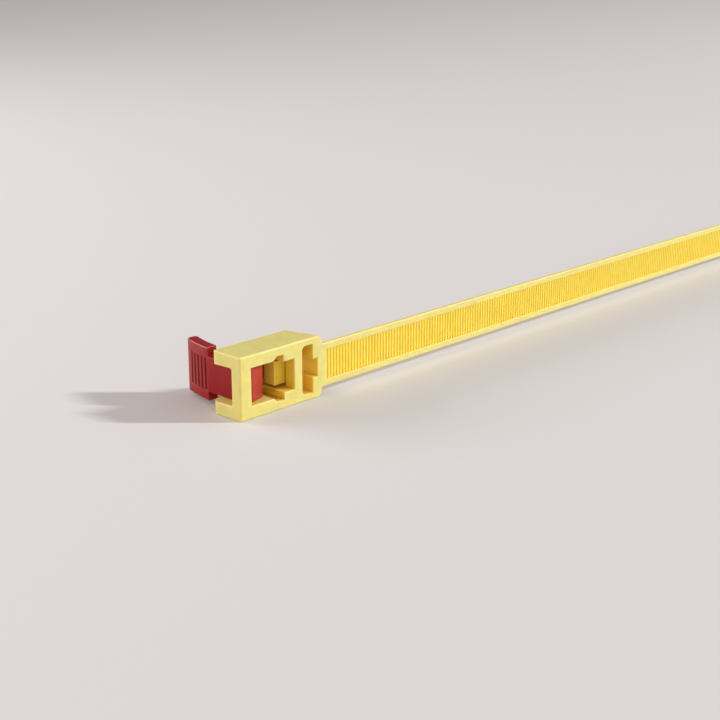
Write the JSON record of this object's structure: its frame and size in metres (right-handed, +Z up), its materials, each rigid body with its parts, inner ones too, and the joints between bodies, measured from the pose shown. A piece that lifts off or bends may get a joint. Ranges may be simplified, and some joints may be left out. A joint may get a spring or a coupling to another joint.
{
  "type": "cable tie",
  "caption": "Releasable toothed strap moulded in one with its slotted head, which holds a pawl and a hinged lever with a ribbed thumb plate.",
  "frame": {"origin": "middle of the head's foot, the narrow side on which the head stands", "axes": "+X along the strap, away from the head; +Y from the toothed front face to the back; +Z up"},
  "size_m": [0.7496, 0.0296, 0.0185],
  "materials": {
    "head": "satin",
    "strap": "satin",
    "release_lever": "satin"
  },
  "bodies": {
    "tie": {"head": "head", "strap": "strap"},
    "lever": {"release_lever": "release_lever"}
  },
  "joints": [
    {"name": "lever_press", "type": "hinge", "parent": "tie", "child": "lever", "pos_m": [-0.00072, 0.0038, 0.00925], "axis": [0, 0, -1], "range_deg": [0, 8], "stiffness_Nm_per_rad": 0.02}
  ]
}
